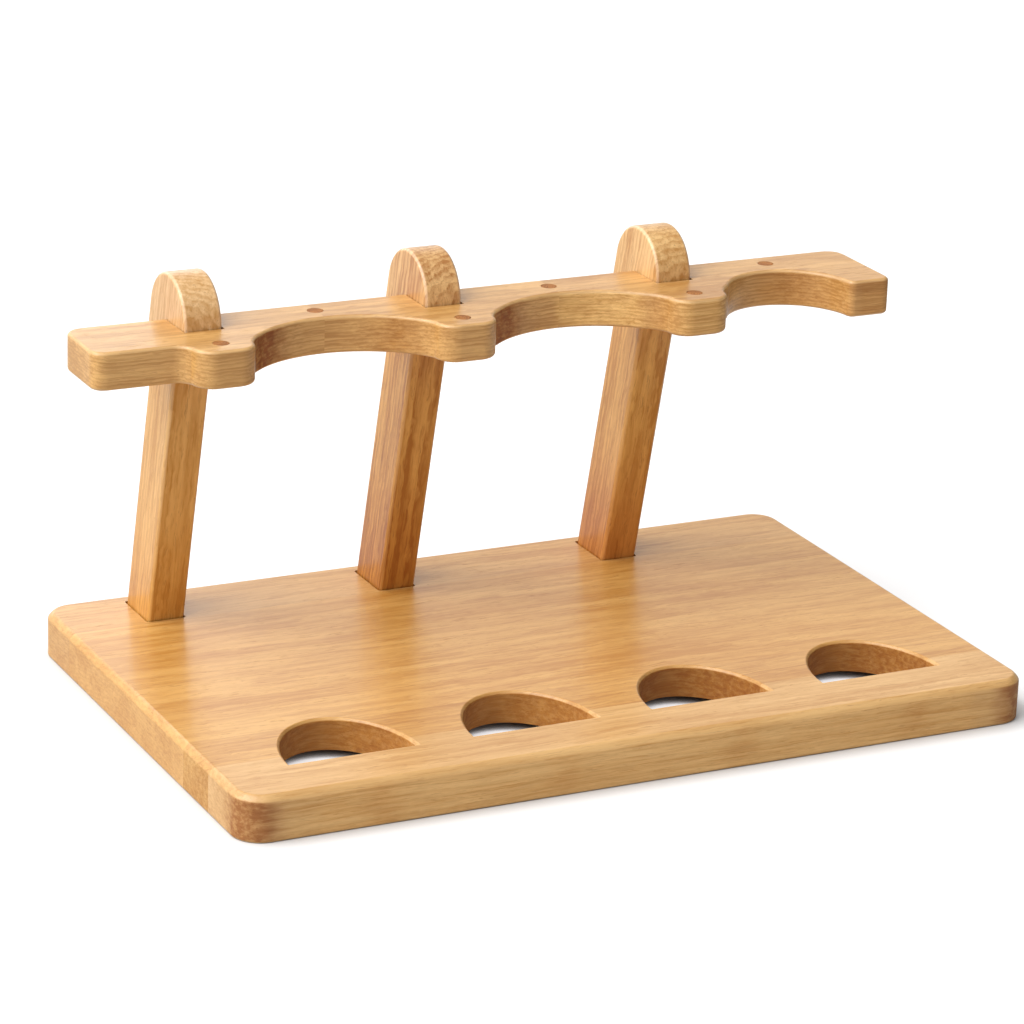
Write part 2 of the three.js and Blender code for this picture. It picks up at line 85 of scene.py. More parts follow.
def rounded_corners(half_x, half_y, radius, steps):
    """Outline of a rectangle with rounded corners, counter-clockwise."""
    outline = []
    for quarter, (side_x, side_y) in enumerate(((1, 1), (-1, 1), (-1, -1), (1, -1))):
        for step in range(steps + 1):
            turn = (quarter + step / steps) * math.pi / 2
            outline.append((
                side_x * (half_x - radius) + radius * math.cos(turn),
                side_y * (half_y - radius) + radius * math.sin(turn),
            ))
    return outline


def set_in(outline, depth):
    """The same outline moved into the wood by depth, corner by corner."""
    inner = []
    for here, (x, y) in enumerate(outline):
        corner = Vector((x, y))
        arriving = (corner - Vector(outline[here - 1])).normalized()
        leaving = (Vector(outline[(here + 1) % len(outline)]) - corner).normalized()
        side = Vector((-arriving.y, arriving.x))
        inward = (side + Vector((-leaving.y, leaving.x))).normalized()
        inner.append(tuple(corner + inward * depth / max(SHARPEST_MITRE, inward.dot(side))))
    return inner


def swept_corner(start, corner, end, steps):
    """Points of a soft corner that leaves start, turns at corner and arrives at end."""
    points = []
    for step in range(steps + 1):
        t = step / steps
        points.append(tuple(
            (1 - t) ** 2 * a + 2 * t * (1 - t) * b + t ** 2 * c
            for a, b, c in zip(start, corner, end)
        ))
    return points


def eased_chamfer(size, ease, steps=3):
    """(set-in, rise) pairs of a 45 degree chamfer with its two corners softened."""
    return swept_corner((0, -ease), (0, 0), (ease, ease), steps) + swept_corner(
        (size - ease, size - ease), (size, size), (size + ease, size), steps
    )


def rolled_edge(radius, steps):
    """(set-in, rise) pairs of a quarter-round edge, from the side face to the flat."""
    turns = [step / steps * math.pi / 2 for step in range(steps + 1)]
    return [(radius * (1 - math.cos(turn)), radius * math.sin(turn)) for turn in turns]


def lofted_solid(name, rings):
    """A closed block through (outline, height) rings from the bottom up, in millimetres."""
    bm = bmesh.new()
    loops = [
        [bm.verts.new((x * MM, y * MM, height * MM)) for x, y in outline] for outline, height in rings
    ]
    for low, high in zip(loops, loops[1:]):
        for here in range(len(low)):
            there = (here + 1) % len(low)
            bm.faces.new((low[here], low[there], high[there], high[here]))
    bm.faces.new(list(reversed(loops[0])))
    bm.faces.new(loops[-1])
    mesh = bpy.data.meshes.new(name)
    bm.to_mesh(mesh)
    bm.free()
    piece = bpy.data.objects.new(name, mesh)
    bpy.context.scene.collection.objects.link(piece)
    return piece


def stacked_solid(name, outline, levels):
    """A closed block that keeps one outline, set in by its own depth at each height."""
    return lofted_solid(name, [
        (set_in(outline, depth) if depth else outline, height) for depth, height in levels
    ])


def cutting_block(low, high):
    """A square block between two corners, in millimetres, for sawing pieces apart."""
    corners = [(low[0], low[1]), (high[0], low[1]), (high[0], high[1]), (low[0], high[1])]
    return stacked_solid("cutting block", corners, [(0, low[2]), (0, high[2])])


def circle_points(radius, steps):
    """Points round a circle about the origin, counter-clockwise."""
    turns = [step / steps * math.tau for step in range(steps)]
    return [(radius * math.cos(turn), radius * math.sin(turn)) for turn in turns]


def drill(radius, low, high, steps):
    """A round cutter standing on the origin between two heights, in millimetres."""
    return stacked_solid("drill", circle_points(radius, steps), [(0, low), (0, high)])


def moved(tool, x, y, z=0.0):
    """The same block with its mesh shifted, in millimetres."""
    tool.data.transform(Matrix.Translation((x * MM, y * MM, z * MM)))
    return tool


def machine(piece, cutters, operation="DIFFERENCE"):
    """Cuts or trims a piece with the cutters, keeps the result and throws the cutters away."""
    for cutter in cutters:
        cut = piece.modifiers.new("cut", "BOOLEAN")
        cut.operation = operation
        cut.solver = "EXACT"
        cut.object = cutter
    shaped = piece.evaluated_get(bpy.context.evaluated_depsgraph_get())
    mesh = bpy.data.meshes.new_from_object(shaped)
    piece.modifiers.clear()
    piece.data = mesh
    for cutter in cutters:
        bpy.data.objects.remove(cutter)
    return piece


def sawn_from(blank, name, low, high):
    """The length of a blank between two corners, as a piece of its own."""
    piece = bpy.data.objects.new(name, blank.data.copy())
    bpy.context.scene.collection.objects.link(piece)
    return machine(piece, [cutting_block(low, high)], "INTERSECT")


def sanded(piece, crisp_angle=30.0):
    """Smooth shading that keeps true corners crisp and the flats flat."""
    piece.data.polygons.foreach_set("use_smooth", [True] * len(piece.data.polygons))
    piece.data.set_sharp_from_angle(angle=math.radians(crisp_angle))
    even = piece.modifiers.new("even normals", "WEIGHTED_NORMAL")
    even.keep_sharp = True
    even.weight = 60
    return piece


def d_hole_tool(x):
    """A D-shaped cutter with its straight side to the front. It leans like the uprights and
    spreads into a chamfer at the top of the panel and into a shallow relief under it."""
    levels = [(RELIEF_REACH, -CUT_PAST), (RELIEF_REACH, 0.0), (0.0, RELIEF_HEIGHT)]
    levels += [
        (spread, PANEL_THICK - D_HOLE_CHAMFER + rise)
        for spread, rise in eased_chamfer(D_HOLE_CHAMFER, D_HOLE_CHAMFER_EASE)
    ]
    levels.append((D_HOLE_CHAMFER + D_HOLE_CHAMFER_EASE, PANEL_THICK + CUT_PAST))
    rings = []
    for spread, height in levels:
        below_top = PANEL_THICK - min(max(height, RELIEF_HEIGHT), PANEL_THICK)
        chord_y = D_HOLE_CHORD_Y + below_top * math.tan(UPRIGHT_LEAN)
        half_width = D_HOLE_HALF_WIDTH + spread
        reach = D_HOLE_REACH + spread
        turns = [step / D_HOLE_STEPS * math.pi for step in range(D_HOLE_STEPS + 1)]
        arc = [(x + half_width * math.cos(turn), chord_y + reach * math.sin(turn)) for turn in turns]
        rings.append((arc, height))
    return lofted_solid("D hole", rings)


def mortise_tool(x):
    """A pocket that leans with its upright and stops above the underside of the panel."""
    half_y = (UPRIGHT_DEPTH + MORTISE_SIDE_GAP + MORTISE_BACK_GAP) / 2
    half_x = UPRIGHT_THICK / 2 + MORTISE_SIDE_GAP
    pocket = stacked_solid(
        "mortise",
        rounded_corners(half_x, half_y, MORTISE_CORNER, MORTISE_CORNER_STEPS),
        [(0, -2 * PANEL_THICK), (0, 2 * PANEL_THICK)],
    )
    moved(pocket, 0, (MORTISE_BACK_GAP - MORTISE_SIDE_GAP) / 2)
    pocket.data.transform(Matrix.Rotation(UPRIGHT_LEAN, 4, "X"))
    moved(pocket, x, UPRIGHT_FOOT_Y, PANEL_THICK)
    depth_stop = cutting_block(
        (x - UPRIGHT_THICK, 0, MORTISE_FLOOR_Z),
        (x + UPRIGHT_THICK, PANEL_DEPTH, PANEL_THICK + CUT_PAST),
    )
    return machine(pocket, [depth_stop], "INTERSECT")


panel_levels = [
    (inset, PANEL_FOOT_ROLL - rise)
    for inset, rise in reversed(rolled_edge(PANEL_FOOT_ROLL, PANEL_FOOT_STEPS))
]
panel_levels += [
    (inset, PANEL_THICK - PANEL_CHAMFER + rise)
    for inset, rise in eased_chamfer(PANEL_CHAMFER, PANEL_CHAMFER_EASE)
]
panel = stacked_solid(
    "panel",
    rounded_corners(PANEL_LENGTH / 2, PANEL_DEPTH / 2, PANEL_CORNER, PANEL_CORNER_STEPS),
    panel_levels,
)
panel_tools = [d_hole_tool(x) for x in D_HOLE_X]
for x in UPRIGHT_X:
    panel_tools.append(mortise_tool(x))
    counterbore = drill(COUNTERBORE_RADIUS, -CUT_PAST, COUNTERBORE_DEPTH, BORE_STEPS)
    panel_tools.append(moved(counterbore, x, FOOT_SCREW_Y))
    pilot = drill(PILOT_RADIUS, 0.0, MORTISE_FLOOR_Z + PILOT_PAST, BORE_STEPS)
    panel_tools.append(moved(pilot, x, FOOT_SCREW_Y))
machine(panel, panel_tools)


def put_value(socket, value):
    """A socket takes a link from another socket, or a plain value."""
    if isinstance(value, bpy.types.NodeSocket):
        socket.node.id_data.links.new(value, socket)
    else:
        socket.default_value = value


def maths(tree, operation, *values):
    """One step of arithmetic on plain numbers or on sockets."""
    node = tree.nodes.new("ShaderNodeMath")
    node.operation = operation
    for socket, value in zip(node.inputs, values):
        put_value(socket, value)
    return node.outputs[0]


def vector_maths(tree, operation, *values):
    """One step of arithmetic on vectors; a length or a dot product is a plain number."""
    node = tree.nodes.new("ShaderNodeVectorMath")
    node.operation = operation
    for socket, value in zip(node.inputs, values):
        put_value(socket, value)
    return node.outputs["Value" if operation in ("LENGTH", "DOT_PRODUCT") else "Vector"]


def eased_range(tree, value, low, high, to_low=0.0, to_high=1.0):
    """A soft step from to_low to to_high while the value goes from low to high."""
    node = tree.nodes.new("ShaderNodeMapRange")
    node.interpolation_type = "SMOOTHSTEP"
    for socket, given in zip(node.inputs, (value, low, high, to_low, to_high)):
        put_value(socket, given)
    return node.outputs[0]


def drawn_out_noise(tree, position, stretch, detail=2.0, roughness=0.5, colour=False):
    """Noise in millimetres, drawn out along the grain by the three stretch factors."""
    node = tree.nodes.new("ShaderNodeTexNoise")
    put_value(node.inputs["Vector"], vector_maths(tree, "MULTIPLY", position, stretch))
    node.inputs["Scale"].default_value = 1.0
    node.inputs["Detail"].default_value = detail
    node.inputs["Roughness"].default_value = roughness
    return node.outputs["Color" if colour else "Fac"]


def blended(tree, factor, first, second, mode="MIX"):
    """Two colours mixed, or multiplied, by a factor."""
    node = tree.nodes.new("ShaderNodeMix")
    node.data_type = "RGBA"
    node.blend_type = mode
    put_value(node.inputs["Factor"], factor)
    put_value(node.inputs["A"], first)
    put_value(node.inputs["B"], second)
    return node.outputs["Result"]


def shader_group(name, inputs, outputs):
    """An empty node group with named sockets, and its input and output nodes."""
    group = bpy.data.node_groups.new(name, "ShaderNodeTree")
    for socket_name, kind, value in inputs:
        socket = group.interface.new_socket(name=socket_name, in_out="INPUT", socket_type=kind)
        socket.default_value = value
    for socket_name, kind in outputs:
        group.interface.new_socket(name=socket_name, in_out="OUTPUT", socket_type=kind)
    return group, group.nodes.new("NodeGroupInput"), group.nodes.new("NodeGroupOutput")


def centred(tree, value, strength):
    """A mask from 0 to 1 turned into a swing around zero."""
    return maths(tree, "MULTIPLY", maths(tree, "SUBTRACT", value, 0.5), strength)


def hardwood_figure():
    """Solid wood: growth rings round a pith, streaks, fibres and short open pores along X."""
    tree, given, result = shader_group(
        "hardwood figure",
        (
            ("Position", "NodeSocketVector", (0, 0, 0)),
            ("Pith", "NodeSocketVector", (0, 0, -60)),
            ("Ring Width", "NodeSocketFloat", 2.6),
            ("Wander", "NodeSocketFloat", 6.0),
            ("Rings", "NodeSocketFloat", 0.35),
            ("Streaks", "NodeSocketFloat", 0.8),
            ("Pores", "NodeSocketFloat", 0.4),
            ("Light", "NodeSocketColor", (0.8, 0.6, 0.4, 1)),
            ("Dark", "NodeSocketColor", (0.5, 0.3, 0.15, 1)),
            ("Pore Colour", "NodeSocketColor", (0.3, 0.15, 0.06, 1)),
        ),
        (("Color", "NodeSocketColor"), ("Height", "NodeSocketFloat"), ("Pore Mask", "NodeSocketFloat")),
    )
    position = given.outputs["Position"]
    middle = (0.5, 0.5, 0.5)
    drift = drawn_out_noise(tree, position, (0.007, 0.016, 0.016), 2.0, 0.5, True)
    drift = vector_maths(tree, "SUBTRACT", drift, middle)
    ripple = drawn_out_noise(tree, position, (0.09, 0.2, 0.2), 2.0, 0.55, True)
    ripple = vector_maths(tree, "SUBTRACT", ripple, middle)
    across = tree.nodes.new("ShaderNodeCombineXYZ")
    put_value(across.inputs[1], given.outputs["Wander"])
    put_value(across.inputs[2], given.outputs["Wander"])
    wandered = vector_maths(tree, "ADD", position, vector_maths(tree, "MULTIPLY", drift, across.outputs[0]))
    wandered = vector_maths(tree, "ADD", wandered, vector_maths(tree, "MULTIPLY", ripple, (0, 2.6, 2.6)))
    from_pith = vector_maths(tree, "SUBTRACT", wandered, given.outputs["Pith"])
    from_pith = vector_maths(tree, "MULTIPLY", from_pith, (0, 1, 1))
    ragged = maths(tree, "MULTIPLY", drawn_out_noise(tree, position, (0.02, 0.3, 0.3), 3.0, 0.6), 1.3)
    ring_count = maths(
        tree, "DIVIDE", vector_maths(tree, "LENGTH", from_pith), given.outputs["Ring Width"]
    )
    through_ring = maths(tree, "FRACT", maths(tree, "ADD", ring_count, ragged))
    late_wood = maths(
        tree, "MULTIPLY",
        eased_range(tree, through_ring, 0.15, 0.85),
        eased_range(tree, through_ring, 0.86, 1.0, 1.0, 0.0),
    )
    broad_tone = drawn_out_noise(tree, wandered, (0.006, 0.05, 0.05), 2.0, 0.5)
    streaks = drawn_out_noise(tree, wandered, (0.018, 0.33, 0.33), 4.0, 0.6)
    fine_lines = drawn_out_noise(tree, wandered, (0.035, 1.0, 1.0), 2.0, 0.6)
    fine_lines = eased_range(tree, fine_lines, 0.5, 0.72)
    fibres = drawn_out_noise(tree, position, (0.06, 3.0, 3.0), 2.0, 0.6)
    pore_field = drawn_out_noise(tree, wandered, (0.1, 2.2, 2.2), 1.5, 0.6)
    pores = maths(
        tree, "MULTIPLY",
        eased_range(tree, pore_field, 0.56, 0.72),
        eased_range(tree, through_ring, 0.75, 0.1, 0.35, 1.0),
    )
    tone = maths(tree, "MULTIPLY_ADD", late_wood, given.outputs["Rings"], 0.28)
    tone = maths(tree, "MULTIPLY_ADD", centred(tree, streaks, 1.9), given.outputs["Streaks"], tone)
    tone = maths(tree, "ADD", tone, centred(tree, broad_tone, 1.5))
    tone = maths(tree, "MULTIPLY_ADD", fine_lines, 0.45, tone)
    tone = maths(tree, "ADD", tone, centred(tree, fibres, 0.5))
    tone = maths(tree, "MINIMUM", maths(tree, "MAXIMUM", tone, 0.0), 1.2)
    wood = blended(tree, tone, given.outputs["Light"], given.outputs["Dark"])
    pore_mask = maths(tree, "MULTIPLY", pores, given.outputs["Pores"])
    put_value(result.inputs["Color"], blended(tree, pore_mask, wood, given.outputs["Pore Colour"]))
    height = maths(
        tree, "SUBTRACT", maths(tree, "MULTIPLY", fibres, 0.4), maths(tree, "MULTIPLY", pores, 0.6)
    )
    height = maths(tree, "MULTIPLY_ADD", streaks, 0.8, height)
    put_value(result.inputs["Height"], height)
    put_value(result.inputs["Pore Mask"], pores)
    return tree


def edge_wear_and_highlight():
    """Lighter tone along edges eased by sanding: partly where the varnish has worn thin, partly a painted
    highlight along the edge.
    """
    tree, given, result = shader_group(
        "edge wear and highlight",
        (
            ("Color", "NodeSocketColor", (0.5, 0.4, 0.3, 1)),
            ("Normal", "NodeSocketVector", (0, 0, 1)),
            ("Thin Way", "NodeSocketVector", (0, 0, 1)),
            ("Edge Colour", "NodeSocketColor", (0.9, 0.75, 0.55, 1)),
            ("Amount", "NodeSocketFloat", 0.5),
        ),
        (("Color", "NodeSocketColor"),),
    )
    facing = vector_maths(tree, "DOT_PRODUCT", given.outputs["Normal"], given.outputs["Thin Way"])
    facing = maths(tree, "ABSOLUTE", facing)
    on_edge = maths(
        tree, "MULTIPLY",
        eased_range(tree, facing, 0.06, 0.4),
        eased_range(tree, facing, 0.8, 0.99, 1.0, 0.0),
    )
    rubbed_and_highlit = maths(tree, "MULTIPLY", on_edge, given.outputs["Amount"])
    put_value(result.inputs["Color"], blended(
        tree, rubbed_and_highlit, given.outputs["Color"], given.outputs["Edge Colour"]
    ))
    return tree


def shade_and_tone_patch():
    """A patch of another tone on the upright faces near one spot. The patches paint shade in hollows and
    corners, light on some faces, and real tone on one block end.
    """
    tree, given, result = shader_group(
        "shade and tone patch",
        (
            ("Color", "NodeSocketColor", (0.5, 0.4, 0.3, 1)),
            ("Patch Mask", "NodeSocketFloat", 0.0),
            ("Position", "NodeSocketVector", (0, 0, 0)),
            ("Normal", "NodeSocketVector", (0, 0, 1)),
            ("Centre", "NodeSocketVector", (0, 0, 0)),
            ("Reach", "NodeSocketFloat", 20.0),
            ("Fade", "NodeSocketFloat", 8.0),
            ("Tint", "NodeSocketColor", (0.7, 0.5, 0.4, 1)),
        ),
        (("Color", "NodeSocketColor"), ("Patch Mask", "NodeSocketFloat")),
    )
    position = given.outputs["Position"]
    away = vector_maths(tree, "SUBTRACT", position, given.outputs["Centre"])
    away = vector_maths(tree, "MULTIPLY", away, (1, 1, 0))
    ragged = drawn_out_noise(tree, position, (0.1, 0.25, 0.25), 3.0)
    distance = maths(
        tree, "MULTIPLY_ADD", ragged, given.outputs["Fade"], vector_maths(tree, "LENGTH", away)
    )
    far = maths(tree, "MULTIPLY_ADD", given.outputs["Fade"], 1.4, given.outputs["Reach"])
    near = eased_range(tree, distance, given.outputs["Reach"], far, 1.0, 0.0)
    facing_up = vector_maths(tree, "DOT_PRODUCT", given.outputs["Normal"], (0, 0, 1))
    facing_up = maths(tree, "ABSOLUTE", facing_up)
    upright_face = eased_range(tree, facing_up, 0.25, 0.6, 1.0, 0.0)
    # The patch mask carries painted shade, painted light and real tone, as the tint gives.
    patch_mask = maths(tree, "MULTIPLY", near, upright_face)
    mottled = drawn_out_noise(tree, position, (0.07, 0.45, 0.45), 3.0, 0.6)
    mottled = eased_range(tree, mottled, 0.35, 0.65, 0.6, 1.15)
    painted_shade_and_tone = maths(tree, "MULTIPLY", patch_mask, mottled)
    put_value(result.inputs["Color"], blended(
        tree, painted_shade_and_tone, given.outputs["Color"], given.outputs["Tint"], "MULTIPLY"
    ))
    put_value(result.inputs["Patch Mask"], maths(tree, "MAXIMUM", patch_mask, given.outputs["Patch Mask"]))
    return tree


HARDWOOD_FIGURE = hardwood_figure()
EDGE_WEAR_AND_HIGHLIGHT = edge_wear_and_highlight()
SHADE_AND_TONE_PATCH = shade_and_tone_patch()


def srgb(*parts):
    """A colour given as it looks, 0 to 255, in the renderer's linear values."""
    shares = [part / 255 for part in parts]
    linear = [
        share / 12.92 if share <= 0.04045 else ((share + 0.055) / 1.055) ** 2.4 for share in shares
    ]
    return (*linear, 1.0)


def use_group(tree, group, values):
    """Places a shader node group in a tree and feeds its named sockets."""
    node = tree.nodes.new("ShaderNodeGroup")
    node.node_tree = group
    for socket, value in values.items():
        put_value(node.inputs[socket], value)
    return node


def varnished_wood(
    name, light, dark, pore, pith, offset=(0, 0, 0), turn=(0, 0, 0), thin_way=(0, 0, 1),
    ring_width=2.6, flatten=1.0, wander=6.0, rings=0.35, streaks=0.8, pores=0.4,
    edge=None, edge_amount=0.5, gloss=0.34, coat=0.1,
):
    """Satin-varnished hardwood. Offset and turn lay the grain along the piece; flatten
    squeezes the figure in height, as in boards sawn flat from the log."""
    material = bpy.data.materials.new(name)
    material.use_nodes = True
    tree = material.node_tree
    surface = tree.nodes["Principled BSDF"]
    place = tree.nodes.new("ShaderNodeTexCoord")
    lay = tree.nodes.new("ShaderNodeMapping")
    lay.inputs["Scale"].default_value = (1 / MM, 1 / MM, flatten / MM)
    lay.inputs["Rotation"].default_value = turn
    lay.inputs["Location"].default_value = offset
    put_value(lay.inputs["Vector"], place.outputs["Object"])
    figure = use_group(tree, HARDWOOD_FIGURE, {
        "Position": lay.outputs["Vector"],
        "Pith": pith,
        "Ring Width": ring_width,
        "Wander": wander,
        "Rings": rings,
        "Streaks": streaks,
        "Pores": pores,
        "Light": light,
        "Dark": dark,
        "Pore Colour": pore,
    })
    # Edges lighter where the varnish has worn thin, with a painted highlight on top.
    edges = use_group(tree, EDGE_WEAR_AND_HIGHLIGHT, {
        "Color": figure.outputs["Color"],
        "Normal": place.outputs["Normal"],
        "Thin Way": thin_way,
        "Edge Colour": edge or light,
        "Amount": edge_amount,
    })
    put_value(surface.inputs["Base Color"], edges.outputs["Color"])
    dulled = maths(tree, "MULTIPLY_ADD", figure.outputs["Pore Mask"], 0.2, gloss)
    put_value(surface.inputs["Roughness"], dulled)
    surface.inputs["Coat Weight"].default_value = coat
    surface.inputs["Coat Roughness"].default_value = 0.16
    relief = tree.nodes.new("ShaderNodeBump")
    relief.inputs["Strength"].default_value = 0.25
    relief.inputs["Distance"].default_value = 0.15 * MM
    put_value(relief.inputs["Height"], figure.outputs["Height"])
    put_value(surface.inputs["Normal"], relief.outputs["Normal"])
    return material


def add_shade_and_tone_patches(material, *patches):
    """Adds (centre, reach, fade, tint) patches to a wood: painted shade, painted light and real tone, as
    each tint gives; the wood there is also duller.
    """
    tree = material.node_tree
    surface = tree.nodes["Principled BSDF"]
    place = tree.nodes["Texture Coordinate"]
    position = vector_maths(tree, "MULTIPLY", place.outputs["Object"], (1 / MM, 1 / MM, 1 / MM))
    colour = surface.inputs["Base Color"].links[0].from_socket
    patch_mask = 0.0
    for centre, reach, fade, tint in patches:
        patch = use_group(tree, SHADE_AND_TONE_PATCH, {
            "Color": colour,
            "Patch Mask": patch_mask,
            "Position": position,
            "Normal": place.outputs["Normal"],
            "Centre": centre,
            "Reach": reach,
            "Fade": fade,
            "Tint": (*tint, 1),
        })
        colour = patch.outputs["Color"]
        patch_mask = patch.outputs["Patch Mask"]
    put_value(surface.inputs["Base Color"], colour)
    gloss = surface.inputs["Roughness"].links[0].from_socket
    put_value(surface.inputs["Roughness"], maths(tree, "MULTIPLY_ADD", patch_mask, 0.4, gloss))


def finished(piece, material, slot, *nodes):
    """Gives a piece its finish, ties it to the stand and lets it stand for its solids."""
    piece.data.materials.clear()
    piece.data.materials.append(material)
    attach(piece, "root")
    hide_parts(*nodes)
    return piece


HONEY_PORE = srgb(140, 90, 42)
HONEY_EDGE = srgb(230, 194, 144)
LEFT_HOLE_SHADE = (0.76, 0.58, 0.32)
RIGHT_HOLE_SHADE = (0.69, 0.5, 0.23)
FRONT_CORNER_SHADE = (0.54, 0.36, 0.24)
FRONT_FACE_LIGHT = (1.16, 1.16, 1.16)
BLOCK_END_TONE = (0.95, 1.0, 1.18)
# Painted shade on the walls of the D holes, deeper in the two right-hand holes.
hole_shade_patches = [
    ((x, D_HOLE_CHORD_Y + 10, 0), 32, 4, LEFT_HOLE_SHADE if x < 0 else RIGHT_HOLE_SHADE)
    for x in D_HOLE_X
]
# Painted shade on the rounded front corners of the panel.
corner_shade_patches = [
    ((end * PANEL_LENGTH / 2, -PANEL_DEPTH / 2, 0), 11, 9, FRONT_CORNER_SHADE) for end in (-1, 1)
]
# Painted light: upright faces across the middle of the front made brighter.
front_light_patch = ((0, -PANEL_DEPTH / 2, 0), 0.42 * PANEL_LENGTH, 20, FRONT_FACE_LIGHT)
block_end_patch = ((-PANEL_LENGTH / 2, sum(BOARD_JOINTS_Y[:2]) / 2, 0), 14, 1, BLOCK_END_TONE)
side_patches = {"front": [*corner_shade_patches, front_light_patch], "second": [block_end_patch]}
board_edges_y = (-PANEL_DEPTH, *BOARD_JOINTS_Y, PANEL_DEPTH)
block_ends_x = (-PANEL_LENGTH, *D_HOLE_X, PANEL_LENGTH)
board_facts = (
    ("front", (0, -30, -48), (0, 0, 0), srgb(214, 170, 110), srgb(186, 135, 72)),
    ("second", (0, -70, 26), (211, 37, 5), srgb(208, 158, 88), srgb(176, 119, 52)),
    ("middle", (0, 20, -85), (-340, 15, 9), srgb(211, 161, 90), srgb(182, 125, 54)),
    ("back", (0, 60, 58), (520, -21, 3), srgb(208, 160, 94), srgb(178, 123, 58)),
)
for number, (side, pith, offset, light, dark) in enumerate(board_facts):
    wood = varnished_wood(
        "base board " + side, light, dark, HONEY_PORE, pith, offset,
        ring_width=3.1, flatten=2.2, wander=9.0, rings=0.25, streaks=1.0, pores=0.45,
        edge=HONEY_EDGE, edge_amount=0.1,
    )
    add_shade_and_tone_patches(wood, *hole_shade_patches, *side_patches.get(side, ()))
    low_y, high_y = board_edges_y[number:number + 2]
    spans = {"base_board_" + side: (-PANEL_LENGTH, PANEL_LENGTH)}
    if side == "second":
        spans = {
            "base_block_{}".format(block + 1): block_ends_x[block:block + 2]
            for block in range(len(D_HOLE_X) + 1)
        }
    for node, (low_x, high_x) in spans.items():
        board = sawn_from(
            panel,
            "glued_" + node,
            (low_x, low_y, -CUT_PAST),
            (high_x, high_y, PANEL_THICK + CUT_PAST),
        )
        finished(sanded(board), wood, "base_{}_oak".format(side), node)
bpy.data.objects.remove(panel)

# ---------------------------------------------------------------------------
# Uprights: three lengths of the same hardwood, cut to a square-edged shank with
# a wider half-round head, every arris eased. Each stands in its leaning mortise
# and carries the rail in the notch behind its head. Stained a deeper honey.
# ---------------------------------------------------------------------------
UPRIGHT_ARRIS = 1.4
UPRIGHT_ARRIS_STEPS = 5
FOOT_Z = 6.5
HEAD_RADIUS = 17.6
HEAD_STEPS = 56
SHOULDER_ROUND = 2.5
SHOULDER_EASE = 1.0
SHOULDER_STEPS = 6
RAIL_TOP_Z = 143.0
RAIL_THICK = 14.5
RAIL_UNDER_Z = RAIL_TOP_Z - RAIL_THICK
DOWEL_RADIUS = 4.0
DOWEL_BACK_Y = 47.5
DOWEL_SLACK = 0.3
FOOT_PILOT_TOP_Z = 27.0
FOOT_TONE_Z = (0.085, 0.015)
HEAD_TONE_Z = (0.122, 0.136)
HEAD_TONE = (1.0, 1.13, 1.66, 1)


def upright_side_view():
    """Outline from the side, counter-clockwise: depth across, height along the lean."""
    half = UPRIGHT_DEPTH / 2
    foot = (FOOT_Z - PANEL_THICK) / math.cos(UPRIGHT_LEAN)
    shoulder = (RAIL_UNDER_Z - PANEL_THICK) / math.cos(UPRIGHT_LEAN)
    head = (RAIL_TOP_Z - PANEL_THICK) / math.cos(UPRIGHT_LEAN)
    bevel = half * math.tan(UPRIGHT_LEAN)
    outline = [(-half, foot + bevel), (half, foot - bevel)]
    outline += swept_corner(
        (half, shoulder - SHOULDER_ROUND),
        (half, shoulder),
        (half + SHOULDER_ROUND, shoulder),
        SHOULDER_STEPS,
    )
    outline.append((HEAD_RADIUS, shoulder + SHOULDER_EASE))
    for step in range(HEAD_STEPS + 1):
        turn = step / HEAD_STEPS * math.pi
        outline.append((HEAD_RADIUS * math.cos(turn), head + HEAD_RADIUS * math.sin(turn)))
    outline.append((-HEAD_RADIUS, shoulder + SHOULDER_EASE))
    outline += swept_corner(
        (-half - SHOULDER_ROUND, shoulder),
        (-half, shoulder),
        (-half, shoulder - SHOULDER_ROUND),
        SHOULDER_STEPS,
    )
    return outline


def shade_by_height(material, foot_tint):
    """Pale head, honey shank and a foot that grows darker and warmer towards the bottom."""
    tree = material.node_tree
    colour = tree.nodes["Principled BSDF"].inputs["Base Color"]
    apart = tree.nodes.new("ShaderNodeSeparateXYZ")
    put_value(apart.inputs[0], tree.nodes["Texture Coordinate"].outputs["Object"])
    foot = eased_range(tree, apart.outputs["Z"], *FOOT_TONE_Z)
    head = eased_range(tree, apart.outputs["Z"], *HEAD_TONE_Z)
    deep = blended(tree, foot, colour.links[0].from_socket, (*foot_tint, 1), "MULTIPLY")
    put_value(colour, blended(tree, head, deep, HEAD_TONE, "MULTIPLY"))


upright_arris = rolled_edge(UPRIGHT_ARRIS, UPRIGHT_ARRIS_STEPS)
upright_levels = [
    (inset, UPRIGHT_ARRIS - rise - UPRIGHT_THICK / 2) for inset, rise in reversed(upright_arris)
]
upright_levels += [(inset, UPRIGHT_THICK / 2 - UPRIGHT_ARRIS + rise) for inset, rise in upright_arris]
ON_EDGE = Matrix(((0, 0, 1, 0), (1, 0, 0, 0), (0, 1, 0, 0), (0, 0, 0, 1)))
upright_facts = (
    ("left", (0, -40, 30), (30, 0, 0), srgb(228, 178, 108), srgb(194, 137, 66), (0.92, 0.84, 0.62)),
    ("middle", (0, 26, -22), (410, 40, 12), srgb(222, 168, 94), srgb(168, 106, 44), (0.88, 0.72, 0.46)),
    ("right", (0, -18, -44), (-260, 13, -30), srgb(226, 174, 98), srgb(184, 124, 54), (0.82, 0.6, 0.44)),
)
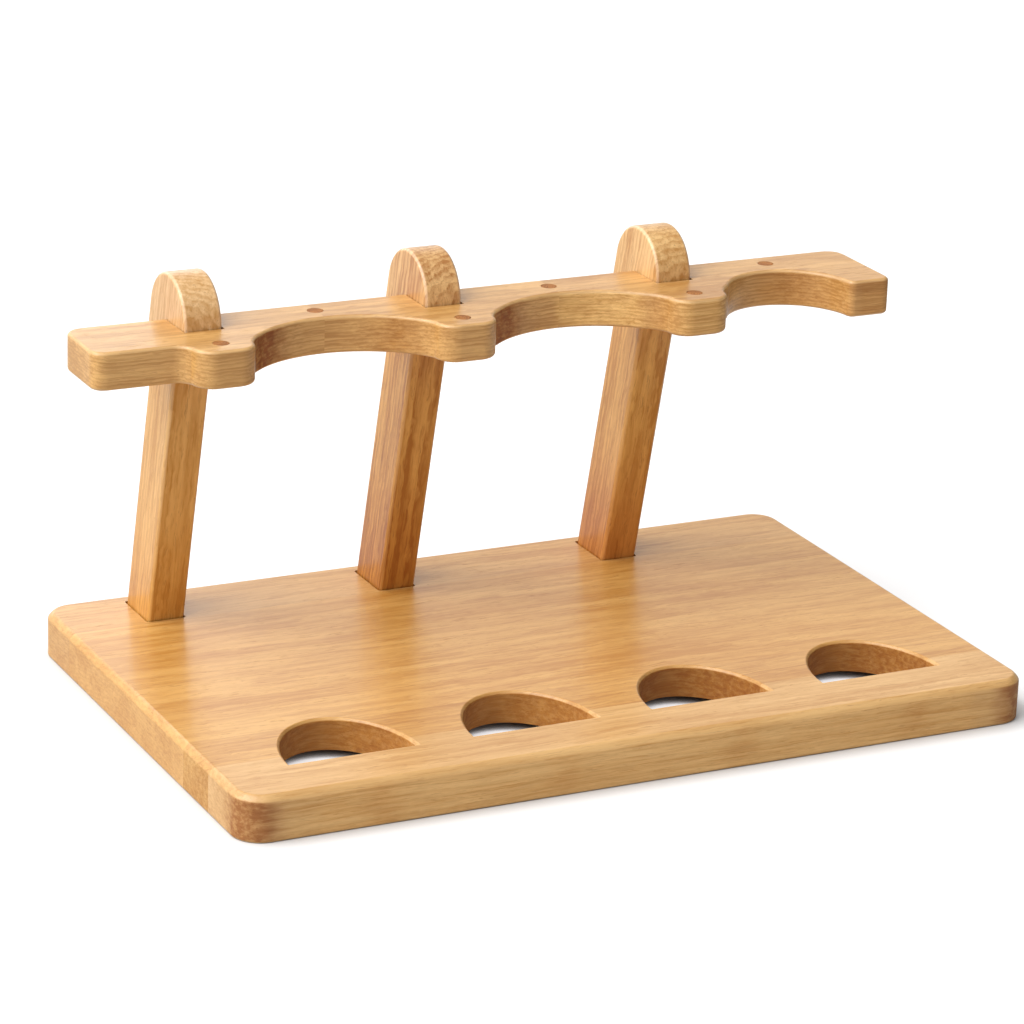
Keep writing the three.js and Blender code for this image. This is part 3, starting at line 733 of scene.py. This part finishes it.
for x, (side, pith, offset, light, dark, foot_tint) in zip(UPRIGHT_X, upright_facts):
    upright = stacked_solid("standing_upright_" + side, upright_side_view(), upright_levels)
    upright.data.transform(Matrix.Rotation(UPRIGHT_LEAN, 4, "X") @ ON_EDGE)
    moved(upright, 0, UPRIGHT_FOOT_Y, PANEL_THICK)
    dowel_bore = drill(DOWEL_RADIUS + DOWEL_SLACK, 0, DOWEL_BACK_Y + DOWEL_SLACK, BORE_STEPS)
    dowel_bore.data.transform(Matrix.Rotation(-math.pi / 2, 4, "X"))
    moved(dowel_bore, 0, 0, RAIL_TOP_Z - RAIL_THICK / 2)
    pilot = moved(drill(PILOT_RADIUS, 0, FOOT_PILOT_TOP_Z, BORE_STEPS), 0, FOOT_SCREW_Y)
    machine(upright, [dowel_bore, pilot])
    upright.location.x = x * MM
    wood = varnished_wood(
        "upright " + side, light, dark, srgb(120, 70, 28), pith, offset,
        turn=(-UPRIGHT_LEAN, math.pi / 2, 0), thin_way=(1, 0, 0),
        ring_width=2.4, wander=5.0, rings=0.45, streaks=1.1, pores=0.45,
        edge=srgb(240, 200, 144), edge_amount=0.3, coat=0.25,
    )
    shade_by_height(wood, foot_tint)
    finished(sanded(upright), wood, "upright_oak", "upright_" + side)

# ---------------------------------------------------------------------------
# Rail: three lengths of hardwood butted end to end in the scallops, then cut to
# one wavy outline: a plain left arm, three noses and three scallops. Notched at
# the back for the heads of the uprights; top and bottom edges eased.
# ---------------------------------------------------------------------------
RAIL_EASE = 1.4
RAIL_EASE_STEPS = 5
RAIL_CORNER_STEPS = 10
RAIL_LEFT_X = -168.0
RAIL_RIGHT_X = 158.0
RAIL_BACK_Y = 55.0
RAIL_BACK_CORNER = 8.0
LEFT_ARM_FRONT_Y = 21.5
LEFT_ARM_CORNER = 6.0
RIGHT_ARM_FRONT_Y = 11.3
RIGHT_ARM_CORNER = 4.5
RIGHT_ARM_HORN = 2.2
RIGHT_ARM_FLARE = 1.0
NOSE_FRONT_Y = 9.5
NOSE_RADIUS = 8.0
NOSE_STEPS = 14
NOSE_FLAT_HALF = 4.2
NOSE_NECK_HALF = 15.0
NOSE_NECK_Y = 22.5
NECK_ROUND = 3.0
SCALLOP_DEEP_Y = 36.7
SCALLOP_RADIUS = 46.0
LAST_SCALLOP_X = 114.3
LAST_SCALLOP_RADIUS = 25.2
SCALLOP_STEPS = 56
RAIL_JOINTS_X = (-71.3, 26.0)
NOSE_PLUG_Y = 19.2
BACK_PLUG_Y = 45.9
LAST_PLUG_X = 120.9
PLUG_RADIUS = 3.0
PLUG_LENGTH = 12.0
PLUG_BORE_SLACK = 0.3
DOWEL_BORE_FRONT_Y = 13.7
TONGUE_HALF = (14.0, 5.5, 2.0)
FIT_GAP = 0.15
NOTCH_LEFT_GAP = 0.3
NOTCH_RIGHT_GAP = 0.6
NOTCH_FRONT_GAP = 0.35


def soft_outline(corners, steps):
    """Closed outline through (x, y, ease) corners; an ease above 0 rounds the corner."""
    outline = []
    for here, (x, y, ease) in enumerate(corners):
        if not ease:
            outline.append((x, y))
            continue
        corner = Vector((x, y))
        before = Vector(corners[here - 1][:2])
        after = Vector(corners[(here + 1) % len(corners)][:2])
        start = corner + (before - corner).normalized() * ease
        end = corner + (after - corner).normalized() * ease
        outline += swept_corner(start, corner, end, steps)
    return outline


def scallop_points(centre_x, radius, from_x, to_x):
    """The hollow arc between two noses, from the left to the right."""
    first = math.acos((from_x - centre_x) / radius)
    last = math.acos((to_x - centre_x) / radius)
    points = []
    for step in range(SCALLOP_STEPS + 1):
        turn = first + (last - first) * step / SCALLOP_STEPS
        points.append((
            centre_x + radius * math.cos(turn),
            SCALLOP_DEEP_Y - radius + radius * math.sin(turn),
            0,
        ))
    return points


def nose_points(centre_x):
    """The rounded front of one nose, from the left to the right."""
    points = []
    for side, first in ((-1, math.pi), (1, 1.5 * math.pi)):
        for step in range(NOSE_STEPS + 1):
            turn = first + step / NOSE_STEPS * math.pi / 2
            points.append((
                centre_x + side * NOSE_FLAT_HALF + NOSE_RADIUS * math.cos(turn),
                NOSE_FRONT_Y + NOSE_RADIUS + NOSE_RADIUS * math.sin(turn),
                0,
            ))
    return points


def rail_outline():
    """Outline of the whole rail from above, counter-clockwise from its back left corner."""
    left, middle, right = UPRIGHT_X
    reach = NOSE_NECK_HALF + NECK_ROUND
    horn_x = LAST_SCALLOP_X + LAST_SCALLOP_RADIUS
    corners = [
        (RAIL_LEFT_X, RAIL_BACK_Y, RAIL_BACK_CORNER),
        (RAIL_LEFT_X, LEFT_ARM_FRONT_Y, LEFT_ARM_CORNER),
        (left - NOSE_NECK_HALF, LEFT_ARM_FRONT_Y, NECK_ROUND),
        *nose_points(left),
        (left + NOSE_NECK_HALF, NOSE_NECK_Y, NECK_ROUND),
        *scallop_points((left + middle) / 2, SCALLOP_RADIUS, left + reach, middle - reach),
        (middle - NOSE_NECK_HALF, NOSE_NECK_Y, NECK_ROUND),
        *nose_points(middle),
        (middle + NOSE_NECK_HALF, NOSE_NECK_Y, NECK_ROUND),
        *scallop_points((middle + right) / 2, SCALLOP_RADIUS, middle + reach, right - reach),
        (right - NOSE_NECK_HALF, NOSE_NECK_Y, NECK_ROUND),
        *nose_points(right),
        (right + NOSE_NECK_HALF, NOSE_NECK_Y, NECK_ROUND),
        *scallop_points(LAST_SCALLOP_X, LAST_SCALLOP_RADIUS, right + reach, horn_x - FIT_GAP),
        (horn_x + RIGHT_ARM_FLARE, RIGHT_ARM_FRONT_Y, RIGHT_ARM_HORN),
        (RAIL_RIGHT_X, RIGHT_ARM_FRONT_Y, RIGHT_ARM_CORNER),
        (RAIL_RIGHT_X, RAIL_BACK_Y, RAIL_BACK_CORNER),
    ]
    return soft_outline(corners, RAIL_CORNER_STEPS)


def notch_tool(x):
    """Open-backed notch whose front wall leans with the head that sits in it."""
    half_x = UPRIGHT_THICK / 2
    half_y = HEAD_RADIUS + NOTCH_FRONT_GAP
    notch = cutting_block(
        (-half_x - NOTCH_LEFT_GAP, -half_y, -2 * HEAD_RADIUS),
        (half_x + NOTCH_RIGHT_GAP, half_y, 2 * HEAD_RADIUS),
    )
    notch.data.transform(Matrix.Rotation(UPRIGHT_LEAN, 4, "X"))
    head_y = UPRIGHT_FOOT_Y - math.tan(UPRIGHT_LEAN) * (RAIL_TOP_Z - PANEL_THICK)
    return moved(notch, x, head_y, RAIL_TOP_Z)


rail_edge = rolled_edge(RAIL_EASE, RAIL_EASE_STEPS)
rail_levels = [(inset, RAIL_UNDER_Z + RAIL_EASE - rise) for inset, rise in reversed(rail_edge)]
rail_levels += [(inset, RAIL_TOP_Z - RAIL_EASE + rise) for inset, rise in rail_edge]
rail = stacked_solid("rail", rail_outline(), rail_levels)
plug_places = [(x, NOSE_PLUG_Y) for x in UPRIGHT_X]
plug_places += [(x, BACK_PLUG_Y) for x in (*RAIL_JOINTS_X, LAST_PLUG_X)]
plug_bore_floor = RAIL_TOP_Z - PLUG_LENGTH - PLUG_BORE_SLACK
rail_tools = [notch_tool(x) for x in UPRIGHT_X]
for x, y in plug_places:
    bore = drill(PLUG_RADIUS + FIT_GAP, plug_bore_floor, RAIL_TOP_Z + CUT_PAST, BORE_STEPS)
    rail_tools.append(moved(bore, x, y))
for x in UPRIGHT_X:
    bore = drill(DOWEL_RADIUS + FIT_GAP, DOWEL_BORE_FRONT_Y, DOWEL_BACK_Y + CUT_PAST, BORE_STEPS)
    bore.data.transform(Matrix.Rotation(-math.pi / 2, 4, "X"))
    rail_tools.append(moved(bore, x, 0, RAIL_TOP_Z - RAIL_THICK / 2))
for x in RAIL_JOINTS_X:
    low = [-half - FIT_GAP for half in TONGUE_HALF]
    high = [half + FIT_GAP for half in TONGUE_HALF]
    rail_tools.append(moved(cutting_block(low, high), x, BACK_PLUG_Y, RAIL_TOP_Z - RAIL_THICK / 2))
machine(rail, rail_tools)
rail_ends_x = (RAIL_LEFT_X - CUT_PAST, *RAIL_JOINTS_X, RAIL_RIGHT_X + CUT_PAST)
# Each patch is a place, a reach, a fade and a tone: painted shade in the hollow pockets beside the noses,
# in the last scallop and at the right end; painted light on the middle scallop and the front of the right
# nose.
RAIL_SHADE_AND_LIGHT_PATCHES = (
    ((UPRIGHT_X[0] + NOSE_NECK_HALF + 5, NOSE_NECK_Y + 5, 0), 8, 11, (0.5, 0.28, 0.14)),
    ((UPRIGHT_X[1] + NOSE_NECK_HALF + 5, NOSE_NECK_Y + 5, 0), 8, 11, (0.6, 0.36, 0.18)),
    ((UPRIGHT_X[1] - NOSE_NECK_HALF - 7, NOSE_NECK_Y + 7, 0), 4, 12, (0.8, 0.68, 0.5)),
    ((RAIL_JOINTS_X[1] + 17, SCALLOP_DEEP_Y, 0), 16, 5, (1.3, 1.45, 1.6)),
    ((UPRIGHT_X[2], NOSE_FRONT_Y, 0), 10, 8, (1.2, 1.3, 1.4)),
    ((LAST_SCALLOP_X + 10, SCALLOP_DEEP_Y, 0), 8, 16, (0.78, 0.68, 0.52)),
    ((RAIL_RIGHT_X, RIGHT_ARM_FRONT_Y, 0), 14, 8, (0.88, 0.78, 0.68)),
)
rail_facts = (
    ("left", (0, 70, -30), (90, 3, 0), srgb(213, 165, 100), srgb(180, 130, 68)),
    ("middle", (0, -45, -60), (-170, 22, 14), srgb(211, 163, 98), srgb(176, 125, 64)),
    ("right", (0, 10, -90), (380, -9, -21), srgb(209, 161, 97), srgb(175, 124, 64)),
)
for number, (side, pith, offset, light, dark) in enumerate(rail_facts):
    length = sawn_from(
        rail,
        "scalloped_rail_" + side,
        (rail_ends_x[number], 0, RAIL_UNDER_Z - CUT_PAST),
        (rail_ends_x[number + 1], PANEL_DEPTH, RAIL_TOP_Z + CUT_PAST),
    )
    wood = varnished_wood(
        "rail " + side, light, dark, HONEY_PORE, pith, offset,
        ring_width=2.6, flatten=1.8, wander=7.0, rings=0.5, streaks=1.1, pores=0.45,
        edge=HONEY_EDGE, edge_amount=0.3,
    )
    add_shade_and_tone_patches(wood, *RAIL_SHADE_AND_LIGHT_PATCHES)
    finished(sanded(length), wood, "rail_oak", "rail_" + side)
bpy.data.objects.remove(rail)

# ---------------------------------------------------------------------------
# Plugs: short round pegs cut across the grain from darker stock, glued into
# their bores in the rail and sanded flush with its top.
# ---------------------------------------------------------------------------
PLUG_STEPS = 48
PLUG_END_EASE = 0.3
PLUG_TOP_EASE = 0.1
PLUG_TURN = 0.9

plug_wood = varnished_wood(
    "plug end grain", srgb(180, 116, 50), srgb(134, 80, 30), srgb(70, 36, 12), (0, 1.5, 1.0),
    turn=(0, math.pi / 2, 0), ring_width=1.1, wander=1.5, rings=0.6, streaks=0.5, pores=0.7,
    edge_amount=0.0, gloss=0.7, coat=0.0,
)
for number, (x, y) in enumerate(plug_places):
    row, side = divmod(number, 3)
    name = ("nose", "back")[row] + "_plug_" + ("left", "middle", "right")[side]
    plug = stacked_solid("round_" + name, circle_points(PLUG_RADIUS, PLUG_STEPS), [
        (PLUG_END_EASE, -PLUG_LENGTH),
        (0, PLUG_END_EASE - PLUG_LENGTH),
        (0, -PLUG_TOP_EASE),
        (PLUG_TOP_EASE, 0),
    ])
    plug.location = (x * MM, y * MM, RAIL_TOP_Z * MM)
    plug.rotation_euler.z = number * PLUG_TURN
    finished(sanded(plug), plug_wood, "plug_end_grain", name)

# ---------------------------------------------------------------------------
# Dowels and tongues: bare beech, hidden inside the rail. A level dowel ties each
# nose to its upright, and a loose tongue bridges each butt joint of the rail.
# ---------------------------------------------------------------------------
bare_beech = varnished_wood(
    "bare beech", srgb(226, 196, 154), srgb(196, 160, 116), srgb(168, 126, 84), (0, 20, 30),
    ring_width=1.6, wander=2.0, rings=0.3, streaks=0.6, pores=0.5, edge_amount=0.0, gloss=0.6, coat=0.0,
)
for name in (
    "head_dowel_left", "head_dowel_middle", "head_dowel_right", "joint_tongue_left", "joint_tongue_right",
):
    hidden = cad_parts[name]
    hidden.data.materials.clear()
    hidden.data.materials.append(bare_beech)

# ---------------------------------------------------------------------------
# Foot screws: countersunk zinc-plated wood screws, driven up through the base
# into the foot of each upright and sunk just below the underside.
# ---------------------------------------------------------------------------
SCREW_SUNK = 0.5
SCREW_HEAD_RADIUS = 4.0
SCREW_HEAD_EDGE = 0.4
SCREW_HEAD_DEPTH = 3.0
SCREW_SHANK_RADIUS = 1.6
SCREW_THREAD_RADIUS = 2.0
SCREW_PITCH = 1.8
SCREW_LENGTH = 26.0
SCREW_TIP = 3.0
SCREW_POINT_RADIUS = 0.15
SCREW_STEPS = 48
THREAD_FLANK = 0.3
SLOT_REACH = 6.0
SLOT_HALF_WIDTH = 0.55
SLOT_START_Z = -2.0
SLOT_DEPTH = 1.3


def screw_profile():
    """Radius and height pairs up the screw, head first, with the thread as close rings."""
    profile = [
        (SCREW_HEAD_RADIUS, 0),
        (SCREW_HEAD_RADIUS, SCREW_HEAD_EDGE),
        (SCREW_THREAD_RADIUS, SCREW_HEAD_DEPTH),
        (SCREW_THREAD_RADIUS, SCREW_HEAD_DEPTH + 2 * SCREW_PITCH),
    ]
    height = profile[-1][1]
    while height < SCREW_LENGTH - SCREW_TIP - SCREW_PITCH:
        profile.append((SCREW_SHANK_RADIUS, height + THREAD_FLANK * SCREW_PITCH))
        profile.append((SCREW_SHANK_RADIUS, height + (1 - THREAD_FLANK) * SCREW_PITCH))
        profile.append((SCREW_THREAD_RADIUS, height + SCREW_PITCH))
        height += SCREW_PITCH
    profile.append((SCREW_POINT_RADIUS, SCREW_LENGTH))
    return profile


def zinc_plate():
    """Bright zinc with fine turning marks round the axis and faint grey bloom."""
    material = bpy.data.materials.new("zinc plate")
    material.use_nodes = True
    tree = material.node_tree
    surface = tree.nodes["Principled BSDF"]
    surface.inputs["Metallic"].default_value = 1.0
    place = tree.nodes.new("ShaderNodeTexCoord")
    bloom = drawn_out_noise(tree, place.outputs["Object"], (400, 400, 400), 3.0)
    marks = drawn_out_noise(tree, place.outputs["Object"], (300, 300, 9000), 2.0)
    colour = blended(tree, bloom, srgb(206, 209, 214), srgb(150, 152, 156))
    put_value(surface.inputs["Base Color"], colour)
    put_value(surface.inputs["Roughness"], maths(tree, "MULTIPLY_ADD", marks, 0.3, 0.2))
    relief = tree.nodes.new("ShaderNodeBump")
    relief.inputs["Strength"].default_value = 0.3
    relief.inputs["Distance"].default_value = 0.05 * MM
    put_value(relief.inputs["Height"], marks)
    put_value(surface.inputs["Normal"], relief.outputs["Normal"])
    return material


zinc = zinc_plate()
screw_levels = [(SCREW_HEAD_RADIUS - radius, height) for radius, height in screw_profile()]
for x, side in zip(UPRIGHT_X, ("left", "middle", "right")):
    head = circle_points(SCREW_HEAD_RADIUS, SCREW_STEPS)
    screw = stacked_solid("countersunk_screw_" + side, head, screw_levels)
    slot = cutting_block(
        (-SLOT_REACH, -SLOT_HALF_WIDTH, SLOT_START_Z), (SLOT_REACH, SLOT_HALF_WIDTH, SLOT_DEPTH)
    )
    machine(screw, [slot])
    screw.location = (x * MM, FOOT_SCREW_Y * MM, SCREW_SUNK * MM)
    finished(sanded(screw), zinc, "screw_steel", "foot_screw_" + side)

# ---------------------------------------------------------------------------
# Setting: the stand on a plain white floor under soft light from the left, seen
# from the front left and a little above.
# ---------------------------------------------------------------------------
FLOOR_HALF = 9000.0
FLOOR_THICK = 20.0
FLOOR_OPEN = (0.9, 0.9, 0.9, 1)
FLOOR_PAINTED_SHADOW = (0.4, 0.39, 0.38, 1)
FLOOR_BOUNCE = (0.53, 0.53, 0.53, 1)
FLOOR_GLOW = (0.66, 0.66, 0.68, 1)
KEY_POWER = 81
WINDOW_POWER = 10
EYE_PLACE = (-0.6751, -1.33076, 0.58981)
EYE_TURN = -0.4639
EYE_DIP = 0.3356
EYE_ROLL = 0.0349

floor_corners = [(x * FLOOR_HALF, y * FLOOR_HALF) for x, y in ((1, 1), (-1, 1), (-1, -1), (1, -1))]
floor = stacked_solid("floor", floor_corners, [(0, -FLOOR_THICK), (0, 0)])
floor_paint = bpy.data.materials.new("floor paint")
floor_paint.use_nodes = True
floor_tree = floor_paint.node_tree
floor_surface = floor_tree.nodes["Principled BSDF"]
floor_surface.inputs["Roughness"].default_value = 0.9
floor_surface.inputs["Specular IOR Level"].default_value = 0.0
seen = floor_tree.nodes.new("ShaderNodeLightPath").outputs["Is Camera Ray"]
# Painted contact shadow: the floor the camera sees is darkened where ambient occlusion finds the stand
# close by.
contact_shadow = floor_tree.nodes.new("ShaderNodeAmbientOcclusion")
contact_shadow.samples = 16
contact_shadow.inputs["Distance"].default_value = 0.012
floor_seen = blended(floor_tree, contact_shadow.outputs["AO"], FLOOR_PAINTED_SHADOW, FLOOR_OPEN)
put_value(floor_surface.inputs["Base Color"], blended(floor_tree, seen, FLOOR_BOUNCE, floor_seen))
# A faint glow under the panel keeps the floor pale where it shows through the D holes.
floor_place = floor_tree.nodes.new("ShaderNodeTexCoord").outputs["Object"]
from_middle = floor_tree.nodes.new("ShaderNodeSeparateXYZ")
put_value(from_middle.inputs[0], vector_maths(floor_tree, "ABSOLUTE", floor_place))
under_panel = maths(
    floor_tree, "MULTIPLY",
    maths(floor_tree, "LESS_THAN", from_middle.outputs["X"], (PANEL_LENGTH / 2 - CUT_PAST) * MM),
    maths(floor_tree, "LESS_THAN", from_middle.outputs["Y"], (PANEL_DEPTH / 2 - CUT_PAST) * MM),
)
lit_up = maths(
    floor_tree, "MULTIPLY",
    maths(floor_tree, "MULTIPLY", seen, under_panel),
    eased_range(floor_tree, contact_shadow.outputs["AO"], 0.06, 0.3),
)
put_value(floor_surface.inputs["Emission Color"], blended(floor_tree, lit_up, (0, 0, 0, 1), FLOOR_GLOW))
floor_surface.inputs["Emission Strength"].default_value = 1.0
floor.data.materials.append(floor_paint)


def softbox(name, place, width, height, power):
    """A soft white light that looks at the middle of the stand."""
    light = bpy.data.lights.new(name, "AREA")
    light.shape = "RECTANGLE"
    light.size = width
    light.size_y = height
    light.energy = power
    lamp = bpy.data.objects.new(name, light)
    lamp.location = place
    lamp.rotation_euler = (Vector((0, 0, 0.05)) - Vector(place)).to_track_quat("-Z", "Y").to_euler()
    bpy.context.scene.collection.objects.link(lamp)


softbox("key", (-2.0, -0.2, 2.2), 2.6, 2.6, KEY_POWER)
softbox("window", (0.1, 2.7, 1.1), 1.8, 1.4, WINDOW_POWER)

world = bpy.data.worlds.new("studio")
world.use_nodes = True
sky = world.node_tree
way = sky.nodes.new("ShaderNodeSeparateXYZ")
put_value(way.inputs[0], sky.nodes.new("ShaderNodeTexCoord").outputs["Generated"])
front_to_back = eased_range(sky, way.outputs["Y"], -0.6, 0.7, 0.58, 0.95)
overhead = eased_range(sky, way.outputs["Z"], 0.4, 0.75)
to_zenith = maths(sky, "SUBTRACT", 1.4, front_to_back)
open_sky = maths(sky, "MULTIPLY_ADD", overhead, to_zenith, front_to_back)
shaded_right = eased_range(sky, way.outputs["X"], -0.3, 0.6, 1.1, 0.12)
behind = eased_range(sky, way.outputs["Y"], 0.4, 0.8)
glow = maths(sky, "MULTIPLY", open_sky, maths(sky, "MAXIMUM", shaded_right, behind))
put_value(sky.nodes["Background"].inputs["Strength"], glow)
sky.nodes["Background"].inputs["Color"].default_value = (1, 1, 1, 1)
bpy.context.scene.world = world

eye = bpy.data.cameras.new("eye")
eye.lens = 147.55
eye.sensor_width = 36.0
eye.clip_end = 30.0
camera = bpy.data.objects.new("eye", eye)
camera.matrix_world = (
    Matrix.Translation(EYE_PLACE)
    @ Matrix.Rotation(EYE_TURN, 4, "Z")
    @ Matrix.Rotation(math.pi / 2 - EYE_DIP, 4, "X")
    @ Matrix.Rotation(EYE_ROLL, 4, "Z")
)
bpy.context.scene.collection.objects.link(camera)
bpy.context.scene.camera = camera
bpy.context.scene.view_settings.view_transform = "Standard"
